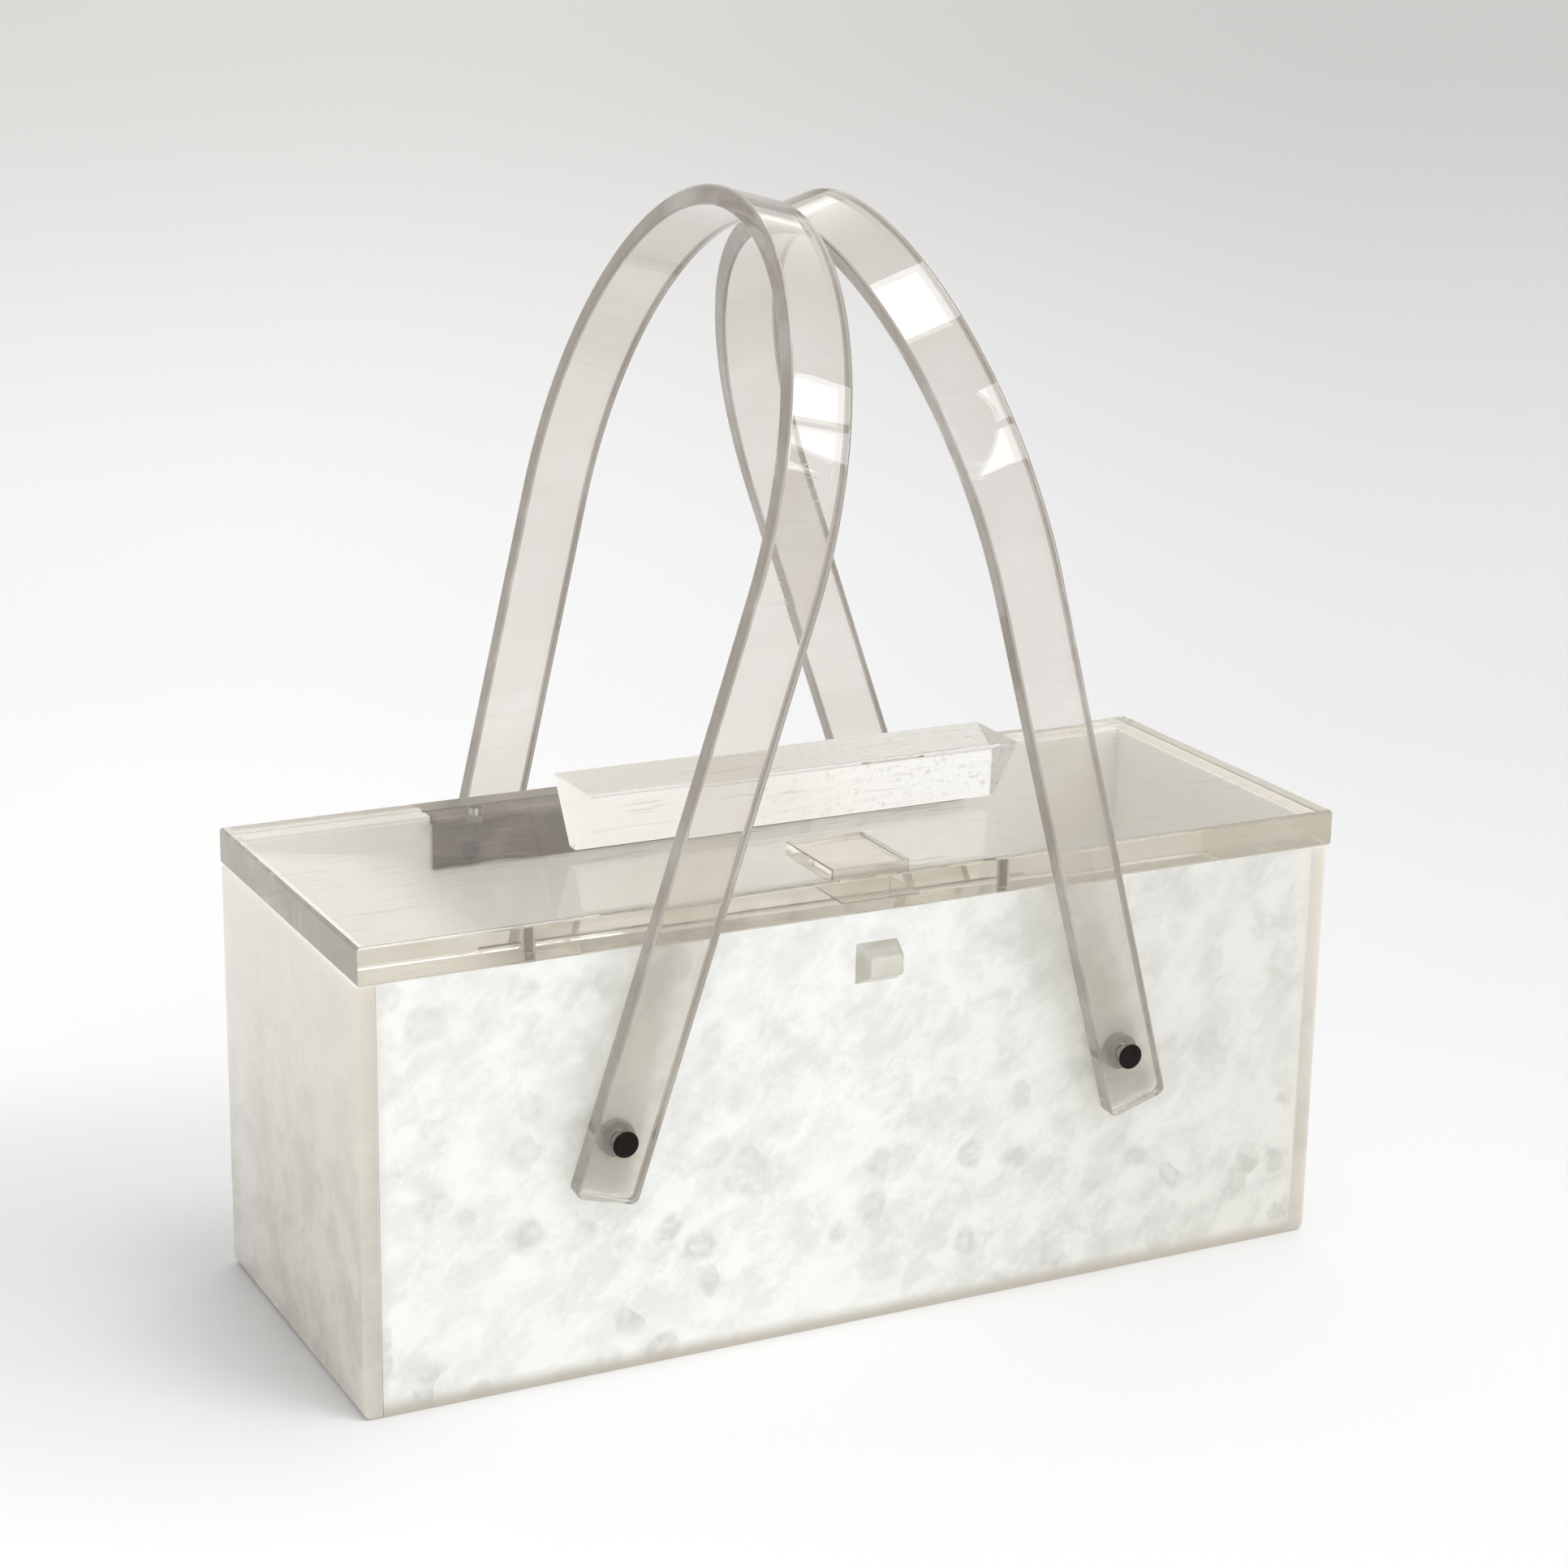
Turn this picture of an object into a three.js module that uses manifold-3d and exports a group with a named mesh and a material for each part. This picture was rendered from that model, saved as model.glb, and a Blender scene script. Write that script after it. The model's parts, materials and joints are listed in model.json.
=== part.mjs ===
// Acrylic box handbag: a hard case with pearl panels, a thick clear hinged lid and two clear arched handles.
// Millimetres, +Z up. The origin is under the middle of the case, +X to the right, +Y to the back.
import * as THREE from 'three';
import { mergeVertices } from 'three/addons/utils/BufferGeometryUtils.js';
import Module from 'manifold-3d';

const wasm = await Module();
wasm.setup();

// Fits: cemented faces keep a thin glue line, and moving pieces keep a running gap.
const GLUE = 0.1;
const PLAY = 0.3;

// Case: a box of five cemented sheets. The ends are thicker than the panels and the floor between them.
const CASE_LENGTH = 230;
const CASE_DEPTH = 85.2;
const CASE_TOP = 93.6;
const END = 4.2;
const PANEL = 3.2;
const EDGE_ROUND = 2;
const ROUND_STEPS = 6;

// Lid: a thick slab that overhangs the front panel.
const LID_BOTTOM = 93.8;
const LID_THICKNESS = 8.2;
const LID_DEPTH = 86.9;
const LID_BACK = 43;
const LID_CHAMFER = 0.5;
const LID_TOP = LID_BOTTOM + LID_THICKNESS;
const LID_FRONT = LID_BACK - LID_DEPTH;

// Lift bar on the lid: a prism that is wide at the top and undercut towards the lid.
const BAR_HEIGHT = 14.6;
const BAR_TOP = { halfLength: 52.1, front: -11.75, back: 6.95 };
const BAR_FOOT = { halfLength: 51.3, front: -2.85, back: 0.15 };

// Tongue: a flat block cemented under the lid.
const TONGUE = { left: -4.5, right: 14.2, front: -31.5, back: -9.5, height: 3 };

// Catch: a small nub on the front panel, with a slope above and below.
const CATCH_REACH = 4;
const CATCH_FOOT = { left: -4.4, right: 5.6, bottom: 77.8, top: 87 };
const CATCH_NOSE = { left: -2.8, right: 5.1, bottom: 80.3, top: 84.6 };

// Butt hinge along the back edge: one leaf under the lid, one over the wall and down its inside.
const HINGE_LENGTH = 135;
const KNUCKLES = 9;
const KNUCKLE_GAP = 0.3;
const BARREL_RADIUS = 1.5;
const BARREL_BORE = 0.95;
const HINGE_PIN_RADIUS = 0.7;
const BARREL_SIDES = 20;
const LEAF = 0.8;
const AXIS_Y = 44.6;
const AXIS_Z = 92.65;
const LEAF_EDGE = 42.6;
const LID_LEAF_FRONT = 33.7;
const LID_LEAF_BOTTOM = 92.9;
const WALL_LEAF_TOP = 92.4;
const WALL_LEAF_FOOT = 81.3;
const NOTCH_HALF = 68;

// Fasteners of the hinge.
const SCREW_X = 58.5;
const SCREW_Y = 36.4;
const SCREW_RADIUS = 1.5;
const SCREW_TIP = 100.6;
const SCREW_HEAD_RADIUS = 1.9;
const SCREW_HEAD_HEIGHT = 0.6;
const RIVET_X = 59;
const RIVET_Z = 85;
const RIVET_RADIUS = 1.2;
const RIVET_HEAD_RADIUS = 2;
const RIVET_HEAD_HEIGHT = 0.8;

// Handles: flat bands with straight splayed legs and a half ellipse as crown, in a plane that leans inwards.
// Heights are measured along the band from its pins.
const PIN_X = 60.4;
const PIN_Z = 54;
const BAND_WIDTH = 14.4;
const BAND_THICKNESS = 4.4;
const SPAN_AT_PIN = 47.4;
const CROWN_HALF_WIDTH = 57.6;
const CROWN_HEIGHT = 67;
const CROWN_CENTRE = 122.2;
const BAND_END = -12.9;
const CROWN_STEPS = 40;
const LEAN_LEFT = 15.1;
const LEAN_RIGHT = 17.45;

// Handle pins: a shaft through wall, spacer and band, with a dark head outside and a clinch inside.
const PIN_RADIUS = 1.5;
const PIN_HEAD_RADIUS = 2.85;
const PIN_HEAD_HEIGHT = 0.4;
const PIN_HEAD_GAP = 0.4;
const CLINCH_RADIUS = 2.6;
const CLINCH_HEIGHT = 1.2;
const SPACER_RADIUS = 4;
const SPACER_HEIGHT = 1.8;
const ROUND_SIDES = 24;

const HALF_LENGTH = CASE_LENGTH / 2;
const HALF_DEPTH = CASE_DEPTH / 2;
const PANEL_HALF = HALF_LENGTH - END - GLUE;
const HALF_TURN = Math.PI;
const QUARTER_TURN = Math.PI / 2;

const FINISH = {
  clear: { color: 0xd8d4cb, roughness: 0.08, metalness: 0 },
  smoky: { color: 0xc8c0b4, roughness: 0.15, metalness: 0 },
  pearl: { color: 0xf0f1ed, roughness: 0.2, metalness: 0 },
  hinge: { color: 0x8c8278, roughness: 0.45, metalness: 1 },
  dark: { color: 0x3c3030, roughness: 0.4, metalness: 0.6 },
  washer: { color: 0x9a958c, roughness: 0.35, metalness: 0.4 },
};

function piece(name, geometry, finish) {
  const mesh = new THREE.Mesh(geometry, new THREE.MeshStandardMaterial(FINISH[finish]));
  mesh.name = name;
  return mesh;
}

// Solids from geometries and back, for cuts and joins.
function solidOf(geometry) {
  const bare = geometry.clone();
  bare.deleteAttribute('normal');
  bare.deleteAttribute('uv');
  const merged = mergeVertices(bare);
  const mesh = new wasm.Mesh({
    numProp: 3,
    vertProperties: new Float32Array(merged.attributes.position.array),
    triVerts: new Uint32Array(merged.index.array),
  });
  return new wasm.Manifold(mesh);
}

function geometryOf(solid) {
  const mesh = solid.getMesh();
  const geometry = new THREE.BufferGeometry();
  geometry.setAttribute('position', new THREE.BufferAttribute(mesh.vertProperties, 3));
  geometry.setIndex(new THREE.BufferAttribute(mesh.triVerts, 1));
  geometry.computeVertexNormals();
  return geometry;
}

function cut(geometry, tools) {
  return geometryOf(tools.reduce((solid, tool) => solid.subtract(solidOf(tool)), solidOf(geometry)));
}

function join(geometries) {
  return geometryOf(geometries.map(solidOf).reduce((sum, solid) => sum.add(solid)));
}

// Basic forms, given by their limits in the bag's own axes.
function block(x0, x1, y0, y1, z0, z1) {
  const geometry = new THREE.BoxGeometry(x1 - x0, y1 - y0, z1 - z0);
  return geometry.translate((x0 + x1) / 2, (y0 + y1) / 2, (z0 + z1) / 2);
}

function extrude(shape, depth) {
  return new THREE.ExtrudeGeometry(shape, { depth, bevelEnabled: false, curveSegments: ROUND_STEPS });
}

// An outline drawn in X and Z, swept from the front y0 to the back y1.
function sweepAlongY(shape, y0, y1) {
  return extrude(shape, y1 - y0).rotateX(QUARTER_TURN).translate(0, y1, 0);
}

// A rod along Y, or turned to lie along X or stand along Z.
function rodY(radius, x, z, y0, y1, sides = ROUND_SIDES) {
  return new THREE.CylinderGeometry(radius, radius, y1 - y0, sides).translate(x, (y0 + y1) / 2, z);
}

function rodX(radius, y, z, x0, x1, sides) {
  const rod = new THREE.CylinderGeometry(radius, radius, x1 - x0, sides);
  return rod.rotateZ(QUARTER_TURN).translate((x0 + x1) / 2, y, z);
}

function rodZ(radius, x, y, z0, z1) {
  const rod = new THREE.CylinderGeometry(radius, radius, z1 - z0, ROUND_SIDES);
  return rod.rotateX(QUARTER_TURN).translate(x, y, (z0 + z1) / 2);
}

// A prism with a rectangular foot at z0 and another rectangle at z1; corners run anticlockwise from above.
function taperedBlock(foot, z0, top, z1) {
  const corners = (r, z) => [[r.x0, r.y0, z], [r.x1, r.y0, z], [r.x1, r.y1, z], [r.x0, r.y1, z]];
  const points = [...corners(foot, z0), ...corners(top, z1)].flat();
  const sides = [0, 1, 2, 3].flatMap((i) => {
    const next = (i + 1) % 4;
    return [i, next, next + 4, i, next + 4, i + 4];
  });
  const geometry = new THREE.BufferGeometry();
  geometry.setAttribute('position', new THREE.Float32BufferAttribute(points, 3));
  geometry.setIndex([0, 2, 1, 0, 3, 2, 4, 5, 6, 4, 6, 7, ...sides]);
  geometry.computeVertexNormals();
  return geometry;
}

// An end is as deep as the case, with its outer bottom edge rounded. The left one is turned half about Z.
function endSheet(name, side) {
  const shape = new THREE.Shape();
  shape.moveTo(HALF_LENGTH - END, CASE_TOP);
  shape.lineTo(HALF_LENGTH - END, 0);
  shape.lineTo(HALF_LENGTH - EDGE_ROUND, 0);
  shape.absarc(HALF_LENGTH - EDGE_ROUND, EDGE_ROUND, EDGE_ROUND, 3 * QUARTER_TURN, 2 * HALF_TURN, false);
  shape.lineTo(HALF_LENGTH, CASE_TOP);
  const geometry = sweepAlongY(shape, -HALF_DEPTH, HALF_DEPTH);
  return piece(name, side < 0 ? geometry.rotateZ(HALF_TURN) : geometry, 'smoky');
}

// The floor lies between the other four sheets.
function floorSheet() {
  const depth = HALF_DEPTH - PANEL - GLUE;
  return piece('floor_sheet', block(-PANEL_HALF, PANEL_HALF, -depth, depth, 0, PANEL), 'pearl');
}

// A panel stands between the ends, flush with their edges, with holes for the handle pins.
function panelGeometry(y0, y1) {
  const hole = (side) => rodY(PIN_RADIUS + PLAY, side * PIN_X, PIN_Z, y0 - PANEL, y1 + PANEL);
  return cut(block(-PANEL_HALF, PANEL_HALF, y0, y1, 0, CASE_TOP), [hole(-1), hole(1)]);
}

function frontPanel() {
  return piece('front_panel', panelGeometry(-HALF_DEPTH, -HALF_DEPTH + PANEL), 'pearl');
}

// The back panel is lower under the hinge leaf and drilled for its rivets.
function backPanel() {
  const inner = HALF_DEPTH - PANEL;
  const sill = WALL_LEAF_TOP - LEAF - GLUE;
  const notch = block(-NOTCH_HALF, NOTCH_HALF, inner - PANEL, HALF_DEPTH + PANEL, sill, LID_TOP);
  const geometry = cut(panelGeometry(inner, HALF_DEPTH), [notch, rivetHole(-1), rivetHole(1)]);
  return piece('back_panel', geometry, 'pearl');
}

function rivetHole(side) {
  return rodY(RIVET_RADIUS + GLUE, side * RIVET_X, RIVET_Z, LID_LEAF_FRONT, AXIS_Y);
}

function screwHole(side) {
  return rodZ(SCREW_RADIUS + GLUE, side * SCREW_X, SCREW_Y, WALL_LEAF_TOP, SCREW_TIP + GLUE);
}

// The lid slab with chamfered edges and blind holes for the hinge screws.
function lid() {
  const half = HALF_LENGTH - LID_CHAMFER;
  const shape = new THREE.Shape();
  shape.moveTo(-half, LID_FRONT + LID_CHAMFER);
  shape.lineTo(half, LID_FRONT + LID_CHAMFER);
  shape.lineTo(half, LID_BACK - LID_CHAMFER);
  shape.lineTo(-half, LID_BACK - LID_CHAMFER);
  const slab = new THREE.ExtrudeGeometry(shape, {
    depth: LID_THICKNESS - 2 * LID_CHAMFER,
    bevelSize: LID_CHAMFER,
    bevelThickness: LID_CHAMFER,
    bevelSegments: 1,
  });
  slab.translate(0, 0, LID_BOTTOM + LID_CHAMFER);
  return piece('lid', cut(slab, [screwHole(-1), screwHole(1)]), 'clear');
}

function lidBar() {
  const rectangle = (r) => ({ x0: -r.halfLength, x1: r.halfLength, y0: r.front, y1: r.back });
  const foot = LID_TOP + GLUE;
  const geometry = taperedBlock(rectangle(BAR_FOOT), foot, rectangle(BAR_TOP), LID_TOP + BAR_HEIGHT);
  return piece('lid_bar', geometry, 'clear');
}

function lidTongue() {
  const top = LID_BOTTOM - GLUE;
  const { left, right, front, back, height } = TONGUE;
  return piece('lid_tongue', block(left, right, front, back, top - height, top), 'clear');
}

// The catch is made standing on its foot, then turned to face the front.
function frontCatch() {
  const rectangle = (r) => ({ x0: r.left, x1: r.right, y0: r.bottom, y1: r.top });
  const geometry = taperedBlock(rectangle(CATCH_FOOT), GLUE, rectangle(CATCH_NOSE), CATCH_REACH);
  geometry.rotateX(QUARTER_TURN).translate(0, -HALF_DEPTH, 0);
  return piece('front_catch', geometry, 'clear');
}

// Knuckles of one leaf: every second length of the barrel, each on a tab from the leaf's edge.
function knuckles(first, tabBottom) {
  const pitch = HINGE_LENGTH / KNUCKLES;
  const parts = [];
  for (let i = first; i < KNUCKLES; i += 2) {
    const x0 = -HINGE_LENGTH / 2 + i * pitch + KNUCKLE_GAP / 2;
    const x1 = x0 + pitch - KNUCKLE_GAP;
    parts.push(rodX(BARREL_RADIUS, AXIS_Y, AXIS_Z, x0, x1, BARREL_SIDES));
    parts.push(block(x0, x1, LEAF_EDGE - LEAF, AXIS_Y, tabBottom, tabBottom + LEAF));
  }
  return parts;
}

function hingeBore() {
  return rodX(BARREL_BORE, AXIS_Y, AXIS_Z, -HINGE_LENGTH, HINGE_LENGTH, BARREL_SIDES);
}

function hingeLidLeaf() {
  const half = HINGE_LENGTH / 2;
  const plate = block(-half, half, LID_LEAF_FRONT, LEAF_EDGE, LID_LEAF_BOTTOM, LID_LEAF_BOTTOM + LEAF);
  const body = join([plate, ...knuckles(1, LID_LEAF_BOTTOM)]);
  return piece('hinge_lid_leaf', cut(body, [hingeBore(), screwHole(-1), screwHole(1)]), 'hinge');
}

function hingeWallLeaf() {
  const half = HINGE_LENGTH / 2;
  const face = HALF_DEPTH - PANEL - GLUE;
  const top = block(-half, half, face - LEAF, LEAF_EDGE, WALL_LEAF_TOP - LEAF, WALL_LEAF_TOP);
  const drop = block(-half, half, face - LEAF, face, WALL_LEAF_FOOT, WALL_LEAF_TOP);
  const body = join([top, drop, ...knuckles(0, WALL_LEAF_TOP - LEAF)]);
  return piece('hinge_wall_leaf', cut(body, [hingeBore(), rivetHole(-1), rivetHole(1)]), 'hinge');
}

function hingePin() {
  const half = HINGE_LENGTH / 2;
  return piece('hinge_pin', rodX(HINGE_PIN_RADIUS, AXIS_Y, AXIS_Z, -half, half, BARREL_SIDES), 'dark');
}

// A screw from below through the leaf into the lid, with a low head under the leaf.
function lidScrew(name, side) {
  const seat = LID_LEAF_BOTTOM - GLUE;
  const profile = [
    [0, seat - SCREW_HEAD_HEIGHT],
    [SCREW_RADIUS, seat - SCREW_HEAD_HEIGHT],
    [SCREW_HEAD_RADIUS, seat - SCREW_HEAD_HEIGHT / 2],
    [SCREW_HEAD_RADIUS, seat],
    [SCREW_RADIUS, seat],
    [SCREW_RADIUS, SCREW_TIP],
    [0, SCREW_TIP],
  ];
  const geometry = turned(profile).rotateX(QUARTER_TURN).translate(side * SCREW_X, SCREW_Y, 0);
  return piece(name, geometry, 'dark');
}

// A rivet through the back panel and the wall leaf, with a head on each side.
function wallRivet(name, side) {
  const inner = HALF_DEPTH - PANEL - LEAF - 2 * GLUE;
  const outer = HALF_DEPTH + GLUE;
  const profile = [
    [0, inner - RIVET_HEAD_HEIGHT],
    [RIVET_HEAD_RADIUS, inner - RIVET_HEAD_HEIGHT],
    [RIVET_HEAD_RADIUS, inner],
    [RIVET_RADIUS, inner],
    [RIVET_RADIUS, outer],
    [RIVET_HEAD_RADIUS, outer],
    [RIVET_RADIUS, outer + RIVET_HEAD_HEIGHT],
    [0, outer + RIVET_HEAD_HEIGHT],
  ];
  return piece(name, turned(profile).translate(side * RIVET_X, 0, RIVET_Z), 'dark');
}

// A turned solid about Y from rows of radius and height.
function turned(profile) {
  const points = profile.map(([radius, height]) => new THREE.Vector2(radius, height));
  return new THREE.LatheGeometry(points, ROUND_SIDES);
}

// Outline of a band in Y and height: the centre line moved by half the thickness to each side.
function bandOutline() {
  const far = Math.hypot(SPAN_AT_PIN * CROWN_HEIGHT, CROWN_HALF_WIDTH * CROWN_CENTRE);
  const turn = Math.atan2(CROWN_HALF_WIDTH * CROWN_CENTRE, SPAN_AT_PIN * CROWN_HEIGHT);
  const start = -(turn - Math.acos((CROWN_HALF_WIDTH * CROWN_HEIGHT) / far));
  const centre = [];
  for (let i = 0; i <= CROWN_STEPS; i += 1) {
    const angle = start + ((HALF_TURN - 2 * start) * i) / CROWN_STEPS;
    const point = new THREE.Vector2(
      CROWN_HALF_WIDTH * Math.cos(angle),
      CROWN_CENTRE + CROWN_HEIGHT * Math.sin(angle),
    );
    const normal = new THREE.Vector2(
      Math.cos(angle) / CROWN_HALF_WIDTH,
      Math.sin(angle) / CROWN_HEIGHT,
    );
    centre.push({ point, normal: normal.normalize() });
  }
  const legEnd = ({ point, normal }, side) => {
    const slope = (Math.abs(point.x) - SPAN_AT_PIN) / point.y;
    return { point: new THREE.Vector2(side * (SPAN_AT_PIN + slope * BAND_END), BAND_END), normal };
  };
  centre.unshift(legEnd(centre[0], 1));
  centre.push(legEnd(centre[centre.length - 1], -1));
  const side = (offset) => centre.map(({ point, normal }) => point.clone().addScaledVector(normal, offset));
  return new THREE.Shape([...side(BAND_THICKNESS / 2), ...side(-BAND_THICKNESS / 2).reverse()]);
}

// A handle turns about its two pins; its group carries the lean.
function handle(name, side, leanDegrees) {
  const yThenZ = new THREE.Matrix4().makeBasis(
    new THREE.Vector3(0, 1, 0),
    new THREE.Vector3(0, 0, 1),
    new THREE.Vector3(1, 0, 0),
  );
  const band = extrude(bandOutline(), BAND_WIDTH).applyMatrix4(yThenZ).translate(-BAND_WIDTH / 2, 0, 0);
  const bore = rodY(PIN_RADIUS + PLAY, 0, 0, -CROWN_HALF_WIDTH, CROWN_HALF_WIDTH);
  const group = new THREE.Group();
  group.position.set(side * PIN_X, 0, PIN_Z);
  group.rotation.y = -side * THREE.MathUtils.degToRad(leanDegrees);
  group.add(piece(name, cut(band, [bore]), 'clear'));
  return group;
}

// Pin and spacer of one leg. They are turned with their axis outwards from the wall's outer face.
function legFastening(end, side, face) {
  const headSeat = SPAN_AT_PIN + BAND_THICKNESS / 2 - HALF_DEPTH + PIN_HEAD_GAP;
  const inside = -PANEL - GLUE;
  const pin = turned([
    [0, inside - CLINCH_HEIGHT],
    [CLINCH_RADIUS, inside - CLINCH_HEIGHT],
    [CLINCH_RADIUS, inside],
    [PIN_RADIUS, inside],
    [PIN_RADIUS, headSeat],
    [PIN_HEAD_RADIUS, headSeat],
    [PIN_HEAD_RADIUS, headSeat + PIN_HEAD_HEIGHT / 2],
    [PIN_HEAD_RADIUS - PIN_HEAD_HEIGHT / 2, headSeat + PIN_HEAD_HEIGHT],
    [0, headSeat + PIN_HEAD_HEIGHT],
  ]);
  const spacer = turned([
    [PIN_RADIUS + GLUE, GLUE],
    [SPACER_RADIUS, GLUE],
    [SPACER_RADIUS, GLUE + SPACER_HEIGHT],
    [PIN_RADIUS + GLUE, GLUE + SPACER_HEIGHT],
    [PIN_RADIUS + GLUE, GLUE],
  ]);
  const group = new THREE.Group();
  group.position.set(side * PIN_X, face * HALF_DEPTH, PIN_Z);
  group.rotation.x = face < 0 ? HALF_TURN : 0;
  group.add(piece(`pin_${end}`, pin, 'dark'), piece(`spacer_${end}`, spacer, 'washer'));
  return group;
}

const bag = new THREE.Group();
bag.add(endSheet('end_left', -1), endSheet('end_right', 1), floorSheet());
bag.add(frontPanel(), backPanel(), frontCatch());
bag.add(lid(), lidBar(), lidTongue());
bag.add(hingeLidLeaf(), hingeWallLeaf(), hingePin());
bag.add(handle('handle_left', -1, LEAN_LEFT), handle('handle_right', 1, LEAN_RIGHT));
for (const [word, side] of [['left', -1], ['right', 1]]) {
  bag.add(lidScrew(`lid_screw_${word}`, side), wallRivet(`wall_rivet_${word}`, side));
  for (const [place, face] of [['front', -1], ['back', 1]]) {
    bag.add(legFastening(`${place}_${word}`, side, face));
  }
}

export default bag;
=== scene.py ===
# %% [markdown]
# An acrylic box handbag of the middle of the last century: a hard case, a thick clear lid on a
# long hinge, and two clear arches that serve as handles. We dress the measured parts of the bag
# one by one. Everything is in metres, in the same frame as the parts: +X to the right, +Y to
# the back, +Z up, and the floor of the case stands on z = 0.

# %% Load the parts
import json
import math

import bmesh
import bpy
from mathutils import Matrix, Vector

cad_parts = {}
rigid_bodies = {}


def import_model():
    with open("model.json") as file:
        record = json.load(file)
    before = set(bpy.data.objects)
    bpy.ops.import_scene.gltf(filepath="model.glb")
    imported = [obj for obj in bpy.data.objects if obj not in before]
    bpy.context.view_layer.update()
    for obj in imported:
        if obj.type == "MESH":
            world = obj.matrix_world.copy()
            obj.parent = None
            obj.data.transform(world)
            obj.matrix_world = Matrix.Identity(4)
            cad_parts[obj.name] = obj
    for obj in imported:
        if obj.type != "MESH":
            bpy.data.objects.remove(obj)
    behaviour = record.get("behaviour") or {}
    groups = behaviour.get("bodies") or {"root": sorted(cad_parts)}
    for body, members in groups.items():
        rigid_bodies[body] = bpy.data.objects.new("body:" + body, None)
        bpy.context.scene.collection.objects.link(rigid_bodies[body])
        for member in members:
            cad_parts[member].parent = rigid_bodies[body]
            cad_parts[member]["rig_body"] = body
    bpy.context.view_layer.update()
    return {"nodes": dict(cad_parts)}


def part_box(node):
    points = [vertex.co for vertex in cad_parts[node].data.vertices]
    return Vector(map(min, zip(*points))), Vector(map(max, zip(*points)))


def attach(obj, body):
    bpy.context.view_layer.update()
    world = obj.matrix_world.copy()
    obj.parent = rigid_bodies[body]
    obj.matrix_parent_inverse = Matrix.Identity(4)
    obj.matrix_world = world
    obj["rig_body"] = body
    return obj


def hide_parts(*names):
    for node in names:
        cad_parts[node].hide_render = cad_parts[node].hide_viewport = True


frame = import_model()
MM = 0.001
scene = bpy.context.scene

# %% [markdown]
# The camera stands in front and to the left, a little above the lid. Its place was worked out
# from the corners of the case and the lid, so a part that is right in size also lands in the
# right place of the picture. We build its matrix from three directions, because a tracking
# constraint could not give the slight roll.

# %% Camera
EYE = Vector((-324.03, -638.12, 322.24)) * MM
AZIMUTH = math.radians(26.9)
ELEVATION = math.radians(16.533)
ROLL = math.radians(0.951)
LENS = 78.216
SENSOR = 36

forward = Vector((
    math.sin(AZIMUTH) * math.cos(ELEVATION),
    math.cos(AZIMUTH) * math.cos(ELEVATION),
    -math.sin(ELEVATION),
))
level = Vector((math.cos(AZIMUTH), -math.sin(AZIMUTH), 0))
upright = level.cross(forward)
right = level * math.cos(ROLL) + upright * math.sin(ROLL)
up = upright * math.cos(ROLL) - level * math.sin(ROLL)
lens = bpy.data.cameras.new("camera")
lens.lens = LENS
lens.sensor_width = SENSOR
camera = bpy.data.objects.new("camera", lens)
turn = Matrix((right, up, -forward)).transposed().to_4x4()
camera.matrix_world = Matrix.Translation(EYE) @ turn
scene.collection.objects.link(camera)
scene.camera = camera
print("camera is", round(EYE.length, 3), "m from the bag")

# %% [markdown]
# A few short helpers keep the node trees readable. `node` adds one node and sets its options and
# input values; a value that is an output socket is linked instead, and i0, i1 and so on name an
# input by its number. `ramp` turns a value between two limits into a soft step, and `blend`
# mixes two colours.

# %% Helpers for nodes
def give(tree, socket, value):
    if isinstance(value, bpy.types.NodeSocket):
        tree.links.new(value, socket)
    else:
        socket.default_value = value


def node(tree, kind, options=None, **values):
    made = tree.nodes.new(kind)
    for key, value in (options or {}).items():
        setattr(made, key, value)
    for key, value in values.items():
        by_number = key[0] == "i" and key[1:].isdigit()
        give(tree, made.inputs[int(key[1:]) if by_number else key.replace("_", " ")], value)
    return made


def math_node(tree, operation, first, second):
    return node(tree, "ShaderNodeMath", {"operation": operation}, i0=first, i1=second).outputs[0]


def times(tree, first, second):
    return math_node(tree, "MULTIPLY", first, second)


def vector_node(tree, operation, **values):
    return node(tree, "ShaderNodeVectorMath", {"operation": operation}, **values).outputs


def along(tree, vector, axis):
    return vector_node(tree, "DOT_PRODUCT", i0=vector, i1=axis)["Value"]


def parts_of(tree, vector):
    return node(tree, "ShaderNodeSeparateXYZ", Vector=vector).outputs


def noise(tree, place, scale, detail, **values):
    made = node(tree, "ShaderNodeTexNoise", Vector=place, Scale=scale, Detail=detail, **values)
    return made.outputs[0]


def ramp(tree, value, low, high, out_low=0.0, out_high=1.0):
    made = node(tree, "ShaderNodeMapRange", {"interpolation_type": "SMOOTHSTEP", "clamp": True},
                Value=value, From_Min=low, From_Max=high, To_Min=out_low, To_Max=out_high)
    return made.outputs["Result"]


def blend(tree, share, first, second, how="MIX"):
    made = node(tree, "ShaderNodeMix", {"data_type": "RGBA", "blend_type": how}, i0=share)
    colours = [socket for socket in made.inputs if socket.type == "RGBA"]
    for socket, value in zip(colours, (first, second)):
        give(tree, socket, (*value, 1.0) if isinstance(value, tuple) else value)
    return [socket for socket in made.outputs if socket.type == "RGBA"][0]


print("helpers for nodes are ready")

# %% [markdown]
# Two more helpers start and place node groups, which hold an effect once for all the finishes that
# show it. `material_of` starts a material: it hands back the tree, the Principled shader and the
# coordinates of the bag, so that a pattern runs on from one piece to the next.

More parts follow.
